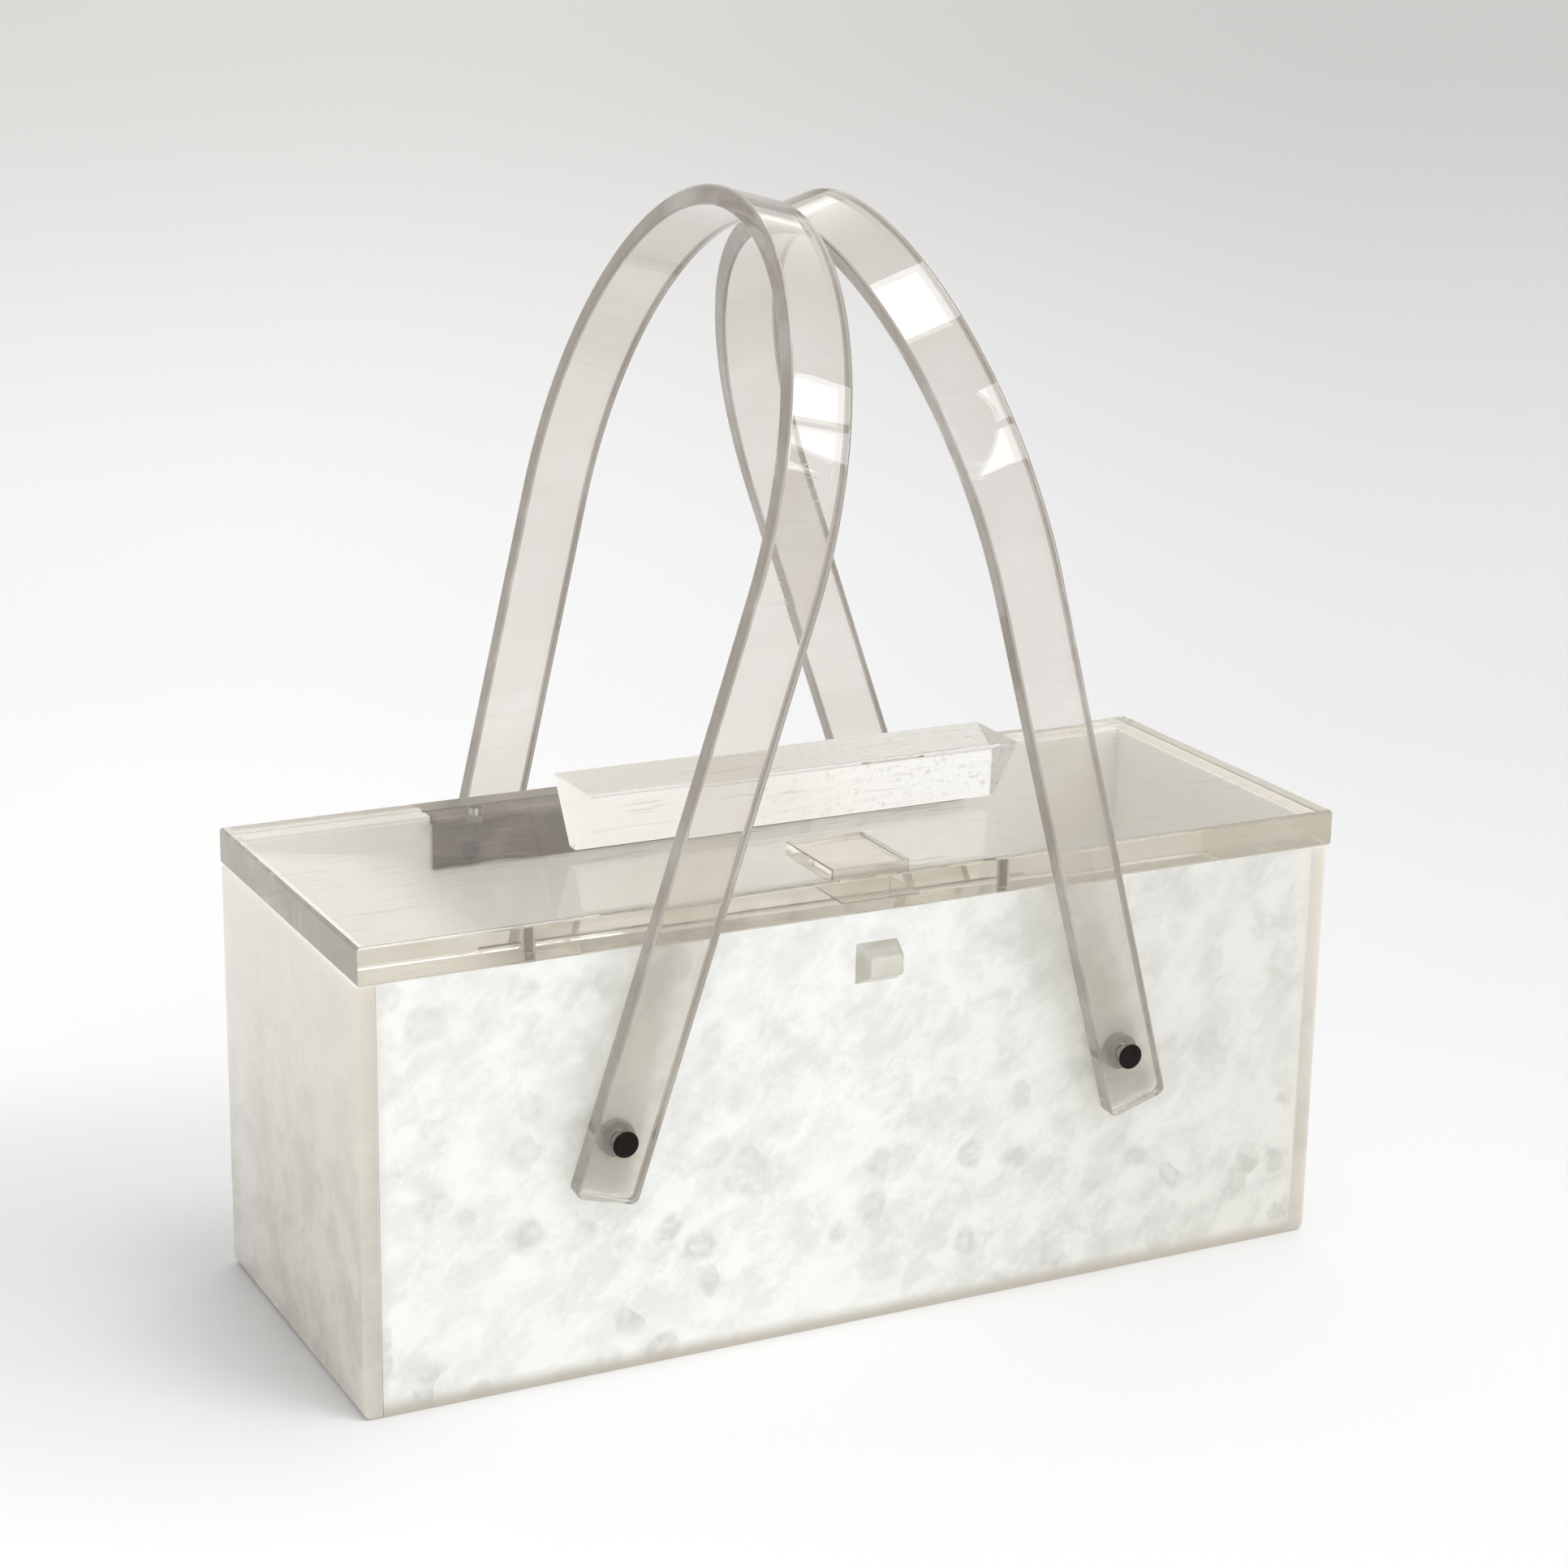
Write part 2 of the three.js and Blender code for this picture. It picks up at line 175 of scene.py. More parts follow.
# %% Helpers for groups and materials
def group_of(name, outputs):
    tree = bpy.data.node_groups.new(name, "ShaderNodeTree")
    tree.interface.new_socket("Place", in_out="INPUT", socket_type="NodeSocketVector")
    scale = tree.interface.new_socket("Scale", in_out="INPUT", socket_type="NodeSocketFloat")
    scale.default_value = 1.0
    for label in outputs:
        tree.interface.new_socket(label, in_out="OUTPUT", socket_type="NodeSocketFloat")
    ins = tree.nodes.new("NodeGroupInput").outputs
    where = vector_node(tree, "SCALE", Vector=ins["Place"], Scale=ins["Scale"])[0]
    return tree, where, tree.nodes.new("NodeGroupOutput").inputs


def use_group(tree, group, place, scale):
    made = node(tree, "ShaderNodeGroup", {"node_tree": group}, Place=place, Scale=scale)
    return made.outputs


def material_of(name):
    material = bpy.data.materials.new(name)
    material.use_nodes = True
    tree = material.node_tree
    place = node(tree, "ShaderNodeTexCoord").outputs["Object"]
    return material, tree, tree.nodes["Principled BSDF"], place


print("helpers for groups and materials are ready")

# %% [markdown]
# The bag stands on a plain pale sweep: a floor that rises softly into a backdrop behind it, in
# line with the camera. A flat plane would do for the floor alone, but the rounded rise gives a
# background without a line across it.

# %% Floor and backdrop
FLOOR_FRONT = -2.5
FLOOR_BACK = 0.45
FLOOR_HALF = 4.0
SWEEP_RADIUS = 1.1
SWEEP_TURN = 61
SWEEP_STEPS = 24

profile = [(FLOOR_FRONT, 0.0), (FLOOR_BACK, 0.0)]
for step in range(1, SWEEP_STEPS + 1):
    angle = math.radians(SWEEP_TURN * step / SWEEP_STEPS)
    back = FLOOR_BACK + SWEEP_RADIUS * math.sin(angle)
    profile.append((back, SWEEP_RADIUS * (1 - math.cos(angle))))
behind = Vector((math.sin(AZIMUTH), math.cos(AZIMUTH), 0))
points, faces = [], []
for depth, height in profile:
    middle = behind * depth + Vector((0, 0, height))
    points += [middle - level * FLOOR_HALF, middle + level * FLOOR_HALF]
for row in range(len(profile) - 1):
    faces.append((2 * row, 2 * row + 1, 2 * row + 3, 2 * row + 2))
mesh = bpy.data.meshes.new("floor")
mesh.from_pydata(points, [], faces)
mesh.shade_smooth()
floor = bpy.data.objects.new("floor", mesh)
scene.collection.objects.link(floor)
print("floor of", len(faces), "faces")

# %% [markdown]
# The sweep is painted board, nearly white where the bag stands. Its colour also carries painted
# shade: it darkens where it rises and a little to the right, and a soft painted shadow lies on the
# floor left of the bag. High on the left, above what the picture shows, it has a darker patch: the
# lid mirrors that patch over the hinge, and so the metal shows through the lid.

# %% Painted board and painted shade
BOARD = (0.92, 0.92, 0.925)
BOARD_PALE = (0.94, 0.94, 0.94)
RISEN_PAINTED_SHADE = (0.76, 0.75, 0.73)
PAINTED_SHADE_RISE = (0.0, 0.2)
PATCH = (0.50, 0.47, 0.43)
PATCH_RISE = (0.28, 0.42)
PATCH_RIGHT = (0.12, -0.1)
PATCH_LEFT = (-0.34, -0.24)
PAINTED_SHADE_RIGHT = (0.82, 0.82, 0.825)
PAINTED_SHADE_RIGHT_REACH = (-0.25, 0.32)
PAINTED_SHADOW_SPOT = (-0.15, 0.05, 0.0)
PAINTED_SHADOW = (0.82, 0.825, 0.83)
PAINTED_SHADOW_REACH = (0.15, 0.03)

material, tree, shader, place = material_of("pale_board")
colour = blend(tree, ramp(tree, noise(tree, place, 2.0, 3.0), 0.3, 0.7), BOARD, BOARD_PALE)
rise = parts_of(tree, place)["Z"]
# painted shade: the backdrop darkens as it rises
colour = blend(tree, ramp(tree, rise, *PAINTED_SHADE_RISE), colour, RISEN_PAINTED_SHADE)
aside = along(tree, place, level)
patch = times(tree, ramp(tree, rise, *PATCH_RISE), ramp(tree, aside, *PATCH_RIGHT))
patch = times(tree, patch, ramp(tree, aside, *PATCH_LEFT))
colour = blend(tree, patch, colour, PATCH)
# painted shade: darker to the right
colour = blend(tree, ramp(tree, aside, *PAINTED_SHADE_RIGHT_REACH), colour, PAINTED_SHADE_RIGHT, "MULTIPLY")
# painted shadow: a soft dark spot on the floor to the left of the bag
shadow_distance = vector_node(tree, "DISTANCE", i0=place, i1=PAINTED_SHADOW_SPOT)["Value"]
colour = blend(tree, ramp(tree, shadow_distance, *PAINTED_SHADOW_REACH), colour, PAINTED_SHADOW, "MULTIPLY")
tree.links.new(colour, shader.inputs["Base Color"])
shader.inputs["Roughness"].default_value = 0.7
floor.data.materials.append(material)
print("board of", len(tree.nodes), "nodes")

# %% [markdown]
# Acrylic shows what surrounds it, so the light is a room rather than a lamp. Its base is an even
# pale sky, brightest behind the backdrop, where the lift bar gathers it. Just over the edge of the
# backdrop the sky is dim on the right, so that the lid, which mirrors that place, stays calm
# and even.

# %% Sky
SKY_LOW = (0.69, 0.68, 0.67)
SKY_HIGH = (0.77, 0.77, 0.77)
SKY_RISE = (-0.1, 0.8)
SKY_BEHIND = (1.35, 1.35, 1.33)
BEHIND = Vector((0.45, 0.84, 0.30)).normalized()
BEHIND_REACH = (0.55, 0.9)
SKY_EDGE_LEFT = (1.05, 1.05, 1.03)
SKY_EDGE_RIGHT = (0.35, 0.335, 0.315)
EDGE_SLANT = 0.8
EDGE_FADE = (0.412, 0.384)
EDGE_RISE = (0.385, 0.35)
EDGE_ACROSS = (0.24, 0.15)

world = bpy.data.worlds.new("room")
world.use_nodes = True
scene.world = world
tree = world.node_tree
direction = node(tree, "ShaderNodeTexCoord").outputs["Generated"]
height = parts_of(tree, direction)["Z"]
sky = blend(tree, ramp(tree, height, *SKY_RISE), SKY_LOW, SKY_HIGH)
rear = ramp(tree, along(tree, direction, BEHIND), *BEHIND_REACH)
sky = blend(tree, rear, sky, SKY_BEHIND)
across = along(tree, direction, level)
slanting = math_node(tree, "SUBTRACT", height, times(tree, across, EDGE_SLANT))
edge = blend(tree, ramp(tree, slanting, *EDGE_FADE), SKY_EDGE_LEFT, SKY_EDGE_RIGHT)
near_edge = times(tree, ramp(tree, height, *EDGE_RISE), ramp(tree, across, *EDGE_ACROSS))
sky = blend(tree, times(tree, rear, near_edge), sky, edge)
tree.links.new(sky, tree.nodes["Background"].inputs["Color"])
print("sky of", len(tree.nodes), "nodes")

# %% [markdown]
# A tall window stands to the front right. Its four panes are four area lamps, because they show as
# small bright patches on the handles, with the bars between them. A soft skylight hangs overhead.
# Light has to pass many clear faces here, so the paths of light may be long.

# %% Window and skylight
AIM = Vector((0.0, 0.0, 0.12))
WINDOW_FROM = Vector((0.50, -0.73, 0.46)).normalized()
WINDOW_DISTANCE = 1.35
WINDOW_SIZE = (0.62, 0.56)
WINDOW_BAR = 0.05
WINDOW_POWER = 4.6
SKYLIGHT_FROM = Vector((0.134, -0.264, 0.955))
SKYLIGHT_DISTANCE = 1.5
SKYLIGHT_SIZE = (0.6, 0.6)
SKYLIGHT_POWER = 6.5


def panel_light(name, towards, distance, shift, size, power):
    light = bpy.data.lights.new(name, "AREA")
    light.shape = "RECTANGLE"
    light.size, light.size_y = size
    light.energy = power
    lamp = bpy.data.objects.new(name, light)
    turn = towards.to_track_quat("Z", "Y").to_matrix().to_4x4()
    lamp.matrix_world = Matrix.Translation(AIM + towards * distance) @ turn @ Matrix.Translation(shift)
    scene.collection.objects.link(lamp)


pane = ((WINDOW_SIZE[0] - WINDOW_BAR) / 2, (WINDOW_SIZE[1] - WINDOW_BAR) / 2)
for column in (-1, 1):
    for row in (-1, 1):
        shift = Vector((column * (pane[0] + WINDOW_BAR) / 2, row * (pane[1] + WINDOW_BAR) / 2, 0))
        panel_light("window_pane", WINDOW_FROM, WINDOW_DISTANCE, shift, pane, WINDOW_POWER / 4)
panel_light("skylight", SKYLIGHT_FROM, SKYLIGHT_DISTANCE, Vector(), SKYLIGHT_SIZE, SKYLIGHT_POWER)
scene.view_settings.view_transform = "Standard"
scene.cycles.caustics_reflective = False
scene.cycles.caustics_refractive = False
scene.cycles.max_bounces = 13
scene.cycles.glossy_bounces = 8
scene.cycles.transmission_bounces = 12
scene.cycles.transparent_max_bounces = 16
scene.cycles.sample_clamp_indirect = 6.0

# %% [markdown]
# Every acrylic face of a bag this old has been wiped and carried for decades. Wear serves several
# finishes, so it is a node group: noise that is stretched in three directions gives hairlines, and
# a coarser noise gathers them in rubbed patches. A scratch map would show its seams, noise has none.

# %% Shared effect: wear
HAIRLINE_RUNS = ((24, 16.0), (-52, 22.0), (71, 19.0))
HAIRLINE_TURN = (1.0, 0.7, 1.0)
HAIRLINE_CUT = (0.66, 0.72)
GATHERED = (0.38, 0.6)
RUBBED = (0.42, 0.72)

wear, where, outs = group_of("acrylic_wear", ["Hairlines", "Rubbed"])
patch = noise(wear, where, 38.0, 3.0, Roughness=0.6)
hair = None
for degrees, stretch in HAIRLINE_RUNS:
    turns = [math.radians(degrees * share) for share in HAIRLINE_TURN]
    turned = node(wear, "ShaderNodeMapping", Vector=where, Rotation=turns,
                  Scale=(1.0, stretch, stretch)).outputs[0]
    thread = ramp(wear, noise(wear, turned, 30.0, 2.0), *HAIRLINE_CUT)
    hair = thread if hair is None else math_node(wear, "MAXIMUM", hair, thread)
wear.links.new(times(wear, hair, ramp(wear, patch, *GATHERED)), outs["Hairlines"])
wear.links.new(ramp(wear, patch, *RUBBED), outs["Rubbed"])
print(wear.name, "has", len(wear.nodes), "nodes")

# %% [markdown]
# The second shared effect is the cloud in the plastic: soft drifts, a fine grain and round spots.
# Noise alone gives no round things, so the spots are the cells of a Voronoi pattern, a little
# bent. Each is paler in its middle, like a bubble, and only some of the cells carry one.

# %% Shared effect: clouds
DRIFT = (0.38, 0.64)
FINE = (0.35, 0.7)
SPOT_BEND = (0.007, 0.007, 0.007)
SPOT_RIM = (0.48, 0.26)
SPOT_MIDDLE = (0.22, 0.04, 0.0, 0.4)
SPOT_LOT = (0.3, 0.65)
SPOT_GRAIN = (0.35, 0.65, 0.35, 1.0)

clouds, where, outs = group_of("acrylic_clouds", ["Drift", "Spots", "Fine"])
drift = noise(clouds, where, 100.0, 7.0, Roughness=0.68, Distortion=0.25)
warp = node(clouds, "ShaderNodeTexNoise", Vector=where, Scale=90.0, Detail=2.0).outputs["Color"]
bent = vector_node(clouds, "MULTIPLY_ADD", i0=warp, i1=SPOT_BEND, i2=where)[0]
cell = node(clouds, "ShaderNodeTexVoronoi", Vector=bent, Scale=120.0).outputs
middle = ramp(clouds, cell["Distance"], *SPOT_MIDDLE)
disc = math_node(clouds, "SUBTRACT", ramp(clouds, cell["Distance"], *SPOT_RIM), middle)
lot = node(clouds, "ShaderNodeSeparateColor", Color=cell["Color"]).outputs[0]
chosen = times(clouds, disc, ramp(clouds, lot, *SPOT_LOT))
fine = noise(clouds, where, 420.0, 4.0, Roughness=0.6)
clouds.links.new(ramp(clouds, drift, *DRIFT), outs["Drift"])
clouds.links.new(times(clouds, chosen, ramp(clouds, fine, *SPOT_GRAIN)), outs["Spots"])
clouds.links.new(ramp(clouds, fine, *FINE), outs["Fine"])
print(clouds.name, "has", len(clouds.nodes), "nodes")

# %% [markdown]
# All the acrylic finishes end in the same way: colour and roughness go to the shader, the hairlines
# raise a very low bump, and light bends as it does in acrylic. Each finish could say this
# again, but one helper keeps them alike. The shader itself stays in its material, where the export
# looks for it.

# %% Worn surface
ACRYLIC_IOR = 1.49
HAIRLINE_DEPTH = 0.2 * MM


def worn_surface(tree, shader, colour, rough, hairlines, strength):
    bump = node(tree, "ShaderNodeBump", Strength=strength, Distance=HAIRLINE_DEPTH, Height=hairlines)
    tree.links.new(colour, shader.inputs["Base Color"])
    tree.links.new(rough, shader.inputs["Roughness"])
    tree.links.new(bump.outputs[0], shader.inputs["Normal"])
    shader.inputs["IOR"].default_value = ACRYLIC_IOR


print("acrylic has an index of refraction of", ACRYLIC_IOR)

# %% [markdown]
# Sawn and polished sheet has no knife edges: each edge carries a narrow worn round that catches
# the light as a bright line. `dress` takes the mesh of one measured part, melts its triangles
# into whole faces and rounds the sharp edges. A Bevel modifier could do that, but here the flat
# faces also stay flat and only the rounds are smooth, so clear faces bend the light as real sheet
# does. Faces that pass a test of their normal take another finish. The piece then takes over
# from its part.

# %% Helpers for pieces
WELD = 0.002 * MM
FLAT = math.radians(0.5)
SOFT = math.radians(1)
SHARP = math.radians(30)


def add_piece(name, mesh, node_name, slot, *finishes):
    for finish in finishes:
        mesh.materials.append(finish)
    piece = bpy.data.objects.new(name, mesh)
    scene.collection.objects.link(piece)
    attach(piece, frame["nodes"][node_name]["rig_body"])
    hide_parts(node_name)
    return piece


def dress(node_name, slot, material, rounding, steps=3, stretch=None, others=()):
    form = bmesh.new()
    form.from_mesh(frame["nodes"][node_name].data)
    bmesh.ops.remove_doubles(form, verts=form.verts, dist=WELD)
    bmesh.ops.dissolve_limit(form, angle_limit=FLAT, verts=form.verts, edges=form.edges)
    if stretch:
        for vertex in form.verts:
            vertex.co = stretch(vertex.co)
    for face in form.faces:
        angles = [edge.calc_face_angle(0) for edge in face.edges if len(edge.link_faces) == 2]
        face.smooth = any(SOFT < angle < SHARP for angle in angles)
    edges = [edge for edge in form.edges if edge.calc_face_angle(0) > SHARP]
    made = bmesh.ops.bevel(form, geom=edges, offset=rounding, segments=steps, profile=0.5,
                           affect="EDGES", clamp_overlap=True)
    for face in made["faces"]:
        face.smooth = True
    for index, (_, belongs) in enumerate(others, 1):
        for face in form.faces:
            if belongs(face.normal):
                face.material_index = index
    mesh = bpy.data.meshes.new(node_name)
    form.to_mesh(mesh)
    form.free()
    finishes = [material] + [finish for finish, _ in others]
    piece = add_piece(node_name + "_piece", mesh, node_name, slot, *finishes)
    print(piece.name, len(mesh.polygons), "faces,", len(mesh.materials), "finishes")
    return piece


print("helpers for pieces are ready")

# %% [markdown]
# The case is a box of five cemented sheets. Its two ends are thicker than the rest, of a cloudy
# beige acrylic, and their edges frame the front panel. The plastic is milky rather than clear, so
# light wanders in it for some millimetres: subsurface light gives that, where glass would be too
# clear. Its colour is painted paler near the top, painted light for the light that gets in behind it,
# and darker drifts run through it. Its cut front edge is browner, and its inner face is painted pale,
# painted light for the glow through the sheet.

# %% Ends
GLOW_DEPTH = 4 * MM
GLOW_COLOUR = (1.0, 0.93, 0.8)
SKIN = 0.5 * MM
INNER_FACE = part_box("end_right")[0].x
FRONT_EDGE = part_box("end_right")[0].y
BEIGE = (0.74, 0.70, 0.635)
BEIGE_DRIFT = (0.60, 0.565, 0.505)
BEIGE_GRAIN = (0.74, 0.705, 0.645)
BEIGE_TOP_PAINTED_LIGHT = (0.88, 0.84, 0.765)
TOP_PAINTED_LIGHT_REACH = (0.02, 0.094, 0.0, 0.75)
BEIGE_CUT = (0.55, 0.51, 0.44)
BEIGE_INSIDE_PAINTED_LIGHT = (0.93, 0.905, 0.86)
BEIGE_SCRATCH = (0.8, 0.77, 0.72)


def cloudy_sheet():
    material, tree, shader, place = material_of("smoky_acrylic")
    cloud = use_group(tree, clouds, place, 0.8)
    worn = use_group(tree, wear, place, 1.0)
    spot = parts_of(tree, place)
    colour = blend(tree, cloud["Drift"], BEIGE, BEIGE_DRIFT)
    colour = blend(tree, times(tree, cloud["Fine"], 0.25), colour, BEIGE_GRAIN)
    # painted light: paler towards the top, where light gets in behind the end
    colour = blend(tree, ramp(tree, spot["Z"], *TOP_PAINTED_LIGHT_REACH), colour, BEIGE_TOP_PAINTED_LIGHT)
    cut = ramp(tree, spot["Y"], FRONT_EDGE + SKIN, FRONT_EDGE, 0.0, 0.5)
    colour = blend(tree, cut, colour, BEIGE_CUT)
    # painted light: the inner face is paler, for the glow through the sheet
    away = math_node(tree, "ABSOLUTE", spot["X"], 0.0)
    colour = blend(tree, ramp(tree, away, INNER_FACE + SKIN, INNER_FACE), colour, BEIGE_INSIDE_PAINTED_LIGHT)
    colour = blend(tree, times(tree, worn["Hairlines"], 0.04), colour, BEIGE_SCRATCH)
    rough = ramp(tree, worn["Rubbed"], 0.0, 1.0, 0.12, 0.3)
    worn_surface(tree, shader, colour, rough, worn["Hairlines"], 0.02)
    shader.inputs["Coat Weight"].default_value = 0.2
    shader.inputs["Subsurface Weight"].default_value = 0.6
    shader.inputs["Subsurface Radius"].default_value = GLOW_COLOUR
    shader.inputs["Subsurface Scale"].default_value = GLOW_DEPTH
    return material


smoky_acrylic = cloudy_sheet()
for name in ("end_left", "end_right"):
    dress(name, "smoky_acrylic", smoky_acrylic, 0.35 * MM)

# %% [markdown]
# Front, back and floor are white pearl acrylic. Flakes in the plastic lie in soft drifts that slant
# up to the right, so the white shades to a cool grey in clouds. Round grey spots break it, most
# of them towards the bottom and the left. At its border a panel takes on some of the beige of the
# ends, and towards its foot it turns darker and browner. Painted shade darkens a panel to the right,
# and its inner faces are painted paler and plainer, painted light for the inside of the case. A
# painted map could copy one panel; noise suits them all.

# %% Pearl finish
panel_low, panel_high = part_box("front_panel")
FLAKE_SLANT = (0.0, math.radians(-38), 0.0)
FLAKE_STRETCH = (1.4, 1.0, 1.0)
PEARL = (0.905, 0.915, 0.885)
PEARL_GREY = (0.63, 0.64, 0.61)
PEARL_GRAIN = (0.93, 0.93, 0.91)
PEARL_SPOT = (0.62, 0.63, 0.60)
SPOTS_LOW = (0.075, 0.01)
SPOTS_LEFT = (0.06, -0.11)
PEARL_PAINTED_SHADE = (0.83, 0.815, 0.79)
PAINTED_SHADE_REACH = (-0.03, 0.11)
PEARL_SIDE = (0.74, 0.70, 0.62)
SIDE_REACH = (panel_high.x - 2 * MM, panel_high.x)
PEARL_FOOT = (0.50, 0.455, 0.38)
FOOT_REACH = (4.4 * MM, 0.5 * MM)
PEARL_INSIDE_PAINTED_LIGHT = (0.92, 0.91, 0.88)
INSIDE_PAINTED_LIGHT_REACH = (-panel_low.y - 0.3 * MM, -panel_low.y - 0.8 * MM)


def pearl():
    material, tree, shader, place = material_of("pearl_acrylic")
    slant = node(tree, "ShaderNodeMapping", {"vector_type": "TEXTURE"}, Vector=place,
                 Rotation=FLAKE_SLANT, Scale=FLAKE_STRETCH).outputs[0]
    cloud = use_group(tree, clouds, slant, 1.25)
    broad = use_group(tree, clouds, place, 0.3)
    bubbles = use_group(tree, clouds, place, 0.8)
    worn = use_group(tree, wear, place, 0.8)
    spot = parts_of(tree, place)
    grey = times(tree, cloud["Drift"], ramp(tree, broad["Drift"], 0.0, 1.0, 0.5, 0.8))
    colour = blend(tree, times(tree, grey, 0.75), PEARL, PEARL_GREY)
    low = ramp(tree, ramp(tree, spot["Z"], *SPOTS_LOW), 0.0, 1.0, 0.3, 0.85)
    busy = math_node(tree, "ADD", low, times(tree, ramp(tree, spot["X"], *SPOTS_LEFT), 0.15))
    colour = blend(tree, times(tree, bubbles["Spots"], busy), colour, PEARL_SPOT)
    colour = blend(tree, times(tree, cloud["Fine"], 0.12), colour, PEARL_GRAIN)
    # painted shade: the panel darkens to the right
    colour = blend(tree, ramp(tree, spot["X"], *PAINTED_SHADE_REACH), colour, PEARL_PAINTED_SHADE, "MULTIPLY")
    side = ramp(tree, math_node(tree, "ABSOLUTE", spot["X"], 0.0), *SIDE_REACH)
    colour = blend(tree, times(tree, side, 0.5), colour, PEARL_SIDE)
    # darker and browner towards the foot
    colour = blend(tree, times(tree, ramp(tree, spot["Z"], *FOOT_REACH), 0.9), colour, PEARL_FOOT)
    # painted light: the inner faces are paler and plainer
    inward_painted_light = ramp(tree, math_node(tree, "ABSOLUTE", spot["Y"], 0.0), *INSIDE_PAINTED_LIGHT_REACH)
    colour = blend(tree, times(tree, inward_painted_light, 0.8), colour, PEARL_INSIDE_PAINTED_LIGHT)
    rough = ramp(tree, worn["Rubbed"], 0.0, 1.0, 0.14, 0.28)
    worn_surface(tree, shader, colour, rough, worn["Hairlines"], 0.04)
    return material


pearl_acrylic = pearl()
print(pearl_acrylic.name, "has", len(pearl_acrylic.node_tree.nodes), "nodes")

# %% [markdown]
# The cement fills the joints, so the panels are drawn out sideways until they touch the ends. The
# parts keep a small gap there. Scaling a panel would also stretch its holes and its notch, so we
# move only the points near its two sides.

# %% Pearl panels
JOINT = 0.12 * MM


def fill_joint(point):
    if abs(point.x) < panel_high.x - MM:
        return point
    return point + Vector((math.copysign(JOINT, point.x), 0, 0))


for name in ("front_panel", "back_panel", "floor_sheet"):
    dress(name, "pearl_acrylic", pearl_acrylic, 0.12 * MM, stretch=fill_joint)

# %% [markdown]
# The clear pieces are cast acrylic that has yellowed slightly. Light bends in it a little less
# than in window glass. A lamp has to reach what lies behind such a piece, so for the rays that
# look for light the material stands aside and only tints them. The lid is too finely scuffed to
# mirror thin things, so a handle also stands aside for mirrored rays that have passed no clear
# piece yet, and keeps its own inner reflections.

# %% Rays and clear acrylic
def choose(tree, share, first, second):
    return node(tree, "ShaderNodeMixShader", i0=share, i1=first, i2=second).outputs[0]


def stand_aside(tree, surface, passing, mirrored):
    ray = node(tree, "ShaderNodeLightPath").outputs
    if not mirrored:
        outside = math_node(tree, "LESS_THAN", ray["Transmission Depth"], 0.5)
        unseen = node(tree, "ShaderNodeBsdfTransparent").outputs[0]
        image = choose(tree, outside, surface, unseen)
        surface = choose(tree, ray["Is Glossy Ray"], surface, image)
    tinted = node(tree, "ShaderNodeBsdfTransparent", Color=(*passing, 1.0)).outputs[0]
    for kind in ("Is Diffuse Ray", "Is Shadow Ray"):
        surface = choose(tree, ray[kind], surface, tinted)
    tree.links.new(surface, tree.nodes["Material Output"].inputs["Surface"])


print("clear pieces stand aside for lamps")

# %% [markdown]
# One function makes all the clear finishes. They differ in tint, in how much of the light they let
# through, and in wear: the bar's front is speckled to the right. The lid's front edge is also
# browner to the right. The tint and the wear change over the surface, but the share of light let
# through is one number for each finish, as on real sheet.

# %% Clear acrylic
PASSING = (0.99, 0.985, 0.98)
RUBBED_TINT = (0.97, 0.97, 0.95)
SCRATCH_TINT = (0.52, 0.49, 0.44)
BROWNING_TINT = (0.36, 0.30, 0.21)
BROWNING_REACH = (0.02, 0.115)
SPECKLE_TINT = (0.36, 0.35, 0.34)
SPECKLE_CUT = (0.54, 0.66)
SPECKLE_REACH = (-0.02, 0.03)


def clear_acrylic(name, tint, clearness, polish=0.0, haze=0.03, scratches=0.15, browning=0.0,
                  speckle=0.0, passing=PASSING, mirrored=True):
    material, tree, shader, place = material_of("clear_acrylic_" + name)
    worn = use_group(tree, wear, place, 1.3)
    colour = blend(tree, times(tree, worn["Rubbed"], 0.3), tint, RUBBED_TINT)
    colour = blend(tree, times(tree, worn["Hairlines"], scratches), colour, SCRATCH_TINT)
    if browning:
        across = parts_of(tree, place)["X"]
        brown = ramp(tree, across, *BROWNING_REACH, 0.0, browning)
        colour = blend(tree, brown, colour, BROWNING_TINT)
    if speckle:
        across = parts_of(tree, place)["X"]
        dust = ramp(tree, noise(tree, place, 650.0, 3.0, Roughness=0.7), *SPECKLE_CUT)
        dust = times(tree, dust, ramp(tree, across, *SPECKLE_REACH, 0.15, speckle))
        colour = blend(tree, dust, colour, SPECKLE_TINT)
    rough = ramp(tree, worn["Rubbed"], 0.0, 1.0, polish, polish + haze)
    rough = math_node(tree, "ADD", rough, times(tree, worn["Hairlines"], 0.12))
    worn_surface(tree, shader, colour, rough, worn["Hairlines"], 0.02)
    shader.inputs["Transmission Weight"].default_value = clearness
    stand_aside(tree, shader.outputs[0], passing, mirrored)
    return material


slab_clear = clear_acrylic("slab", (0.96, 0.94, 0.90), 0.98, scratches=0.3)
slab_front = clear_acrylic("slab_front", (0.65, 0.61, 0.51), 0.8, haze=0.02, browning=0.1)
slab_end = clear_acrylic("slab_end", (0.56, 0.52, 0.43), 0.55)
print("finishes of the lid:", slab_clear.name, slab_front.name, slab_end.name)

# %% [markdown]
# The lid is a thick slab with softened edges. Seen through an edge the plastic looks deeper in
# colour, so the front and the ends have finishes of their own. Bending light in the slab would give
# that colour too, but only with far more rays.

# %% Lid
lid_low, lid_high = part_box("lid")


def along_y(normal):
    return abs(normal.y) > 0.7


def along_x(normal):
    return abs(normal.x) > 0.7


dress("lid", "clear_acrylic", slab_clear, 0.3 * MM,
      others=((slab_front, along_y), (slab_end, along_x)))

